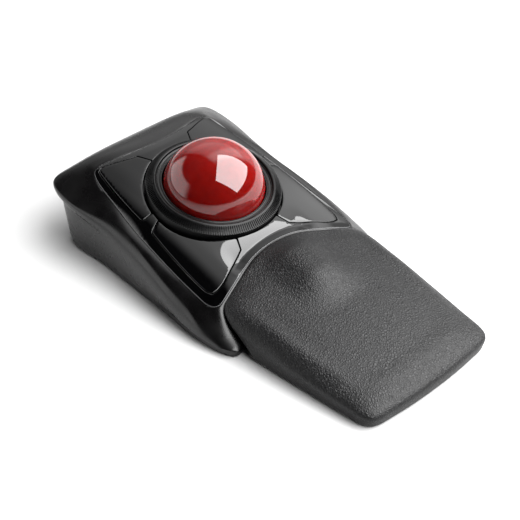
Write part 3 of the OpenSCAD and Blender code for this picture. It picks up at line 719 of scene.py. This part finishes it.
def deck_opening():
    """The clockwise edge of the deck's one opening: ring hole and four button windows."""
    upper = clip_to_ring(offset_path(UPPER_BUTTON, WINDOW_GAP), DECK_HOLE_R)
    lower = clip_to_ring(offset_path(LOWER_BUTTON, WINDOW_GAP), DECK_HOLE_R)
    right = [(0, DECK_HOLE_R), *arc(DECK_HOLE_R, (0, DECK_HOLE_R), upper[0]), *upper,
             *arc(DECK_HOLE_R, upper[-1], lower[0]), *lower,
             *arc(DECK_HOLE_R, lower[-1], (0, -DECK_HOLE_R)), (0, -DECK_HOLE_R)]
    return soften(mirrored(right), 0.7, 0.45)


def build_deck():
    opening = deck_opening()
    points, faces = plate([deck_edge, opening], deck_height, DECK_THICK, 0.28, spacing=0.85)
    points[:, 2] += DECK_LIFT
    # Faces this close to the deck's edge take the grey of the painted edge sheen.
    edge = nearest(points, deck_edge)[0] < PAINTED_SHEEN_W
    sheen_faces = [1 if all(edge[i] for i in f) else 0 for f in faces]
    return make_mesh("deck", from_deck(points), faces, "housing", [DECK_GLOSS, PAINTED_EDGE_SHEEN],
                     ["deck_plate"], sharp=35, face_material=sheen_faces)


def build_button(name, outline, side):
    path = clip_to_ring(offset_path(outline, -BUTTON_GAP), BUTTON_HOLE_R)
    loop = np.array([*path, *arc(BUTTON_HOLE_R, path[-1], path[0])])
    loop = soften(loop, 1.0, 0.45)
    if side == "left":
        loop = loop * [-1, 1]
    else:
        loop = loop[::-1].copy()
    points, faces = plate([loop], crown, BUTTON_THICK, 0.3, spacing=1.1)
    points[:, 2] += BUTTON_LIFT
    return make_mesh(f"{name}_{side}_key", from_deck(points), faces, f"button_{name}_{side}",
                     [BUTTON_GLOSS], [f"button_{name}_{side}"], sharp=35)


# ---------------------------------------------------------------- ring, cup and ball
RIBS = 184
RIB_STEPS = (0.0, 0.42, 0.5, 0.92)
RIB_DEPTH = 0.5
RIB_SINK = (0.62, 0.78)  # a groove runs inwards and down, square to the slope


def build_ring():
    """The scroll ring: a plain lower band, a ribbed finger slope and a smooth inner lip."""
    slope = [(36.22 - 0.36 * k, 2.55 + 0.285 * k) for k in range(11)]
    profile = [(31.05, -4.5), (31.05, 5.2), (31.25, 5.55), (31.7, 5.72), (32.2, 5.62)]
    profile += slope[::-1]
    profile += [(36.3, 2.3), (36.3, -5.5), (37.8, -5.5), (37.8, -7), (35.4, -7), (35.4, -11.5), (34.2, -11.5),
                (34.2, -4.5)]
    first, last = 5, 5 + len(slope)
    points = []
    for i, (r, w) in enumerate(profile):
        t = (i - first) / (last - 1 - first)
        cut = RIB_DEPTH * min(1.0, 4 * t, 4 * (1 - t)) if first <= i < last else 0.0
        for rib in range(RIBS):
            for k, share in enumerate(RIB_STEPS):
                turn = 2 * math.pi * (rib + share) / RIBS
                sink = cut if k < 2 else 0.0
                radius = r - sink * RIB_SINK[0]
                points.append((radius * math.cos(turn), radius * math.sin(turn), w - sink * RIB_SINK[1]))
    faces = loft_faces(len(profile), RIBS * len(RIB_STEPS), wrap_rows=True)
    return make_mesh("scroll_ring_ribbed", from_deck(points), faces, "scroll_ring", [RING_SATIN],
                     ["scroll_ring"], sharp=40)


def build_cup_lip():
    """The cup's dished lip round the ball, with two raised beads."""
    profile = [(30.95, 4.0), (30.95, 4.5), (30.85, 4.66), (30.65, 4.7), (30.48, 4.62), (30.38, 4.46),
               (29.7, 4.36), (29.1, 4.36), (28.98, 4.5), (28.8, 4.62), (28.6, 4.6), (28.4, 4.45), (28.15, 4.1),
               (28.02, 3.6), (28.1, 2.6), (28.3, 3.4), (28.6, 4.0)]
    points, faces = lathe(profile, 256)
    return make_mesh("cup_lip", from_deck(points), faces, "housing", [CUP_SATIN], sharp=60)


def build_ball():
    edit = bmesh.new()
    bmesh.ops.create_icosphere(edit, subdivisions=6, radius=BALL_R)
    points = np.array([tuple(v.co) for v in edit.verts]) + BALL
    faces = [tuple(v.index for v in f.verts) for f in edit.faces]
    edit.free()
    return make_mesh("ball", points, faces, "trackball", [RUBY], ["trackball"], sharp=80)


# ---------------------------------------------------------------- wrist rest
REST_FINE = 8
NOSE_HEIGHT = 7.2
NOSE_HALF_W = 15
VOXEL = 0.0042  # metres, as is HELD_HEIGHT
HELD_HEIGHT = 0.004
PUFF_CAP = 0.9  # the furthest the filling moves the cover, in mm
PUFF_SOFT = 2.4
CLOTH_STEPS = 20


def rest_top(x, y):
    """Height of the rest's top, higher along the middle and towards the ball."""
    s = -79 - y
    side = 20.6 - 0.105 * s - 0.0007 * s * s
    return side + 3.4 * (1 - (x / 44) ** 2)


def ridge(x, y):
    """The raised nose that runs forward from the ball along the middle of the rest."""
    nose = NOSE_HEIGHT * np.exp(-np.abs(x / NOSE_HALF_W) ** 2.4) * ease(y, -103, -78)
    return nose * ease(-y, 46, 62)


def rest_rows():
    """Rings of points over the rest, from its foot to the middle of its top."""
    outlines = (REST_FOOT, REST_BELLY, REST_EDGE, REST_CREST)
    foot, belly, edge, crest = closed_splines([mirrored(o) for o in outlines], REST_FINE)
    stack = [foot, belly, edge, crest]
    for k in (0.86, 0.7, 0.52, 0.34, 0.17, 0.05):
        x, y = crest[:, 0] * k, REST_MID_Y + (crest[:, 1] - REST_MID_Y) * k
        stack.append(np.column_stack([x, y, rest_top(x, y)]))
    rows = open_spline(stack, 6)
    rows[:, :, 2] += ridge(rows[:, :, 0], rows[:, :, 1]) * ease(rows[:, :, 2], 19, 24)
    return rows + BALL_Y


def rest_mesh_data():
    rows = rest_rows()
    n = rows.shape[1]
    under = rows[0] - outwards(rows[0]) * 1.6
    middle = np.array([[0, REST_MID_Y, rest_top(0.0, REST_MID_Y)]]) + BALL_Y
    foot_middle = np.array([[0, REST_MID_Y, under[0, 2]]]) + BALL_Y
    points = np.concatenate([under[None], rows]).reshape(-1, 3)
    faces = loft_faces(len(rows) + 1, n)
    top, bottom = len(points), len(points) + 1
    last = len(points) - n
    faces += [(last + j, last + (j + 1) % n, top) for j in range(n)]
    faces += [(j, (j + 1) % n, bottom) for j in range(n)]
    return np.concatenate([points, middle, foot_middle]), faces


def puffed(points, faces):
    """The pad after its cover has been filled: offsets from a cloth simulation of a coarse copy."""
    mesh = bpy.data.meshes.new("pad_trial")
    mesh.from_pydata([tuple(p) for p in points * MM], [], faces)
    trial = bpy.data.objects.new("pad_trial", mesh)
    bpy.context.scene.collection.objects.link(trial)
    bpy.context.view_layer.objects.active = trial
    remesh = trial.modifiers.new("voxels", "REMESH")
    remesh.mode = "VOXEL"
    remesh.voxel_size = VOXEL
    graph = bpy.context.evaluated_depsgraph_get()
    coarse = bpy.data.meshes.new_from_object(trial.evaluated_get(graph))
    trial.modifiers.clear()
    trial.data = coarse
    start = np.array([v.co for v in coarse.vertices])
    held = trial.vertex_groups.new(name="held")
    low = start[:, 2].min()
    for i, z in enumerate(start[:, 2]):
        held.add([i], 1.0 if z < low + HELD_HEIGHT else 0.0, "REPLACE")
    cloth = trial.modifiers.new("fill", "CLOTH")
    cloth.settings.use_pressure = True
    cloth.settings.uniform_pressure_force = 4
    cloth.settings.vertex_group_mass = "held"
    cloth.settings.effector_weights.gravity = 0
    cloth.settings.tension_stiffness = 30
    cloth.settings.bending_stiffness = 4
    scene = bpy.context.scene
    for step in range(1, CLOTH_STEPS + 1):
        scene.frame_set(step)
    graph = bpy.context.evaluated_depsgraph_get()
    filled = np.array([v.co for v in trial.evaluated_get(graph).data.vertices])
    scene.frame_set(1)
    bpy.data.objects.remove(trial)
    moved = (filled - start) / MM
    tree = kdtree.KDTree(len(start))
    for i, p in enumerate(start / MM):
        tree.insert(p, i)
    tree.balance()
    shift = np.zeros_like(points)
    for i, p in enumerate(points):
        near = tree.find_n(p, 8)
        weights = np.array([1 / (d + 0.8) ** 2 for _, _, d in near])
        shift[i] = (weights[:, None] * moved[[k for _, k, _ in near]]).sum(0) / weights.sum()
    size = np.linalg.norm(shift, axis=1)[:, None]
    shift *= PUFF_CAP * np.tanh(size / PUFF_SOFT) / np.maximum(size, 1e-9)
    back = np.clip((points[:, 1] - BALL_Y[1] + 72) / 8, 0, 1)
    steep = np.clip((points[:, 2] - 4) / 4, 0, 1)
    shift[:, 1] = np.minimum(shift[:, 1], (1 - back) * PUFF_CAP)
    return points + shift * steep[:, None]


def build_rest():
    points, faces = rest_mesh_data()
    points = puffed(points, faces)
    pad = make_mesh("rest_pad", points, faces, "wrist_rest", [LEATHER],
                    ["rest_cover", "rest_foam"], sharp=70)
    return pad


def build_rest_plate():
    """The hard plate's edge under the pad."""
    foot = closed_splines([mirrored(REST_FOOT)], REST_FINE)[0] + BALL_Y
    out = outwards(foot)
    level = [(-1.7, 2.9), (-0.5, 2.62), (-0.15, 2.4), (-0.1, 1.8), (-0.3, 1.3), (-0.9, 1.02), (-1.7, 0.98),
             (-2.2, 1.4)]
    rows = []
    for d, z in level:
        row = foot + out * d
        row[:, 2] = z
        rows.append(row)
    return make_mesh("rest_plate_edge", np.concatenate(rows), loft_faces(len(rows), len(foot), wrap_rows=True),
                     "wrist_rest", [BASE_PLASTIC], sharp=60)


# ---------------------------------------------------------------- stage
CAMERA_LENS_MM = 85.6385
CAMERA_SENSOR_MM = 36
CAMERA_DISTANCE = 0.6677
CAMERA_AZIMUTH, CAMERA_ELEVATION, CAMERA_ROLL = -42.8, 38.37, -0.66
FLOOR_REACH = 6.0
WORLD_STRENGTH = 2.7


def build_camera():
    """The photograph's viewpoint: to the front left of the trackball and above it."""
    azimuth, elevation, roll = map(math.radians, (CAMERA_AZIMUTH, CAMERA_ELEVATION, CAMERA_ROLL))
    target = Vector((0.0083, -0.0267 + BALL[1] * MM, 0))
    back = Vector((math.sin(azimuth) * math.cos(elevation), -math.cos(azimuth) * math.cos(elevation),
                   math.sin(elevation)))
    camera = bpy.data.objects.new("camera", bpy.data.cameras.new("camera"))
    bpy.context.scene.collection.objects.link(camera)
    camera.data.sensor_width = CAMERA_SENSOR_MM
    camera.data.lens = CAMERA_LENS_MM
    camera.data.clip_end = 20
    turn = (-back).to_track_quat("-Z", "Y").to_matrix() @ Matrix.Rotation(roll, 3, "Z")
    camera.matrix_world = Matrix.Translation(target + back * CAMERA_DISTANCE) @ turn.to_4x4()
    bpy.context.scene.camera = camera


def softbox(name, direction, along, distance, width, height, radiance):
    """A rectangular area light facing the ball, with its width lying along a given direction."""
    lamp = bpy.data.objects.new(name, bpy.data.lights.new(name, "AREA"))
    bpy.context.scene.collection.objects.link(lamp)
    lamp.data.shape = "RECTANGLE"
    lamp.data.size, lamp.data.size_y = width, height
    lamp.data.energy = radiance * math.pi * width * height
    facing = Vector(direction).normalized()
    x = Vector(along) - facing * facing.dot(Vector(along))
    x.normalize()
    y = facing.cross(x)
    turn = Matrix((x, y, facing)).transposed()
    lamp.matrix_world = Matrix.Translation(Vector(BALL * MM) + facing * distance) @ turn.to_4x4()


def build_world():
    """A dark studio whose right rear quarter is a pale sweep, fading out short of the zenith."""
    world = bpy.data.worlds.new("studio")
    world.use_nodes = True
    bpy.context.scene.world = world
    nodes, links = world.node_tree.nodes, world.node_tree.links
    place = nodes.new("ShaderNodeTexCoord")
    split = nodes.new("ShaderNodeSeparateXYZ")
    links.new(place.outputs["Generated"], split.inputs["Vector"])

    def ramp(axis, stops):
        node = nodes.new("ShaderNodeValToRGB")
        node.color_ramp.interpolation = "EASE"
        marks = node.color_ramp.elements
        while len(marks) < len(stops):
            marks.new(0.5)
        for mark, (at, value) in zip(marks, stops):
            mark.position = (at + 1) / 2
            mark.color = (value, value, value, 1)
        shift = nodes.new("ShaderNodeMath")
        shift.operation = "MULTIPLY_ADD"
        shift.inputs[1].default_value = shift.inputs[2].default_value = 0.5
        links.new(split.outputs[axis], shift.inputs[0])
        links.new(shift.outputs["Value"], node.inputs["Fac"])
        return node.outputs["Color"]

    def join(operation, a, b):
        node = nodes.new("ShaderNodeVectorMath")
        node.operation = operation
        links.new(a, node.inputs[0])
        links.new(b, node.inputs[1])
        return node.outputs["Vector"]

    right = ramp("X", [(0.03, 0), (0.12, 0.5), (0.25, 0.8), (0.5, 1)])
    rear = ramp("Y", [(-0.12, 0), (0.1, 1), (0.27, 1), (0.45, 0.45)])
    high = ramp("Z", [(0.04, 0.35), (0.3, 0.5), (0.42, 1)])
    wall = ramp("Z", [(-0.05, 0.75), (0.42, 0.75), (0.52, 0.008)])
    left = ramp("X", [(-0.1, 1), (0.05, 0)])
    back = ramp("Y", [(0.1, 0), (0.4, 1)])
    panel = join("MULTIPLY", join("MULTIPLY", right, rear), high)
    sweep = join("MULTIPLY", join("MULTIPLY", wall, left), back)
    shade = nodes["Background"]
    shade.inputs["Strength"].default_value = WORLD_STRENGTH
    links.new(join("ADD", panel, sweep), shade.inputs["Color"])


def build_floor():
    mesh = bpy.data.meshes.new("floor")
    corners = [(-1, -1), (1, -1), (1, 1), (-1, 1)]
    mesh.from_pydata([(x * FLOOR_REACH, y * FLOOR_REACH, FLOOR_Z) for x, y in corners], [], [(0, 1, 2, 3)])
    look = Look("floor_white", (0.49, 0.49, 0.49), 0.9)
    look.set("Roughness", look.spread(look.noise(80, 2), 0.3, 0.7, 0.8, 0.95))
    mesh.materials.append(look.material)
    floor = bpy.data.objects.new("floor", mesh)
    bpy.context.scene.collection.objects.link(floor)


def build_lights():
    softbox("key", direction=(0.408, -0.51, 0.759), along=(0.702, 0.698, 0.141), distance=0.9,
            width=1.25, height=1.1, radiance=10.5)
    bpy.context.scene.view_settings.view_transform = "Standard"


# ---------------------------------------------------------------- assembly
build_camera()
dress_cad_nodes()
build_top_case()
build_base_band()
build_deck()
for level, outline in (("upper", UPPER_BUTTON), ("lower", LOWER_BUTTON)):
    for side in ("left", "right"):
        build_button(level, outline, side)
build_ring()
build_cup_lip()
build_ball()
build_rest()
build_rest_plate()
build_world()
build_floor()
build_lights()
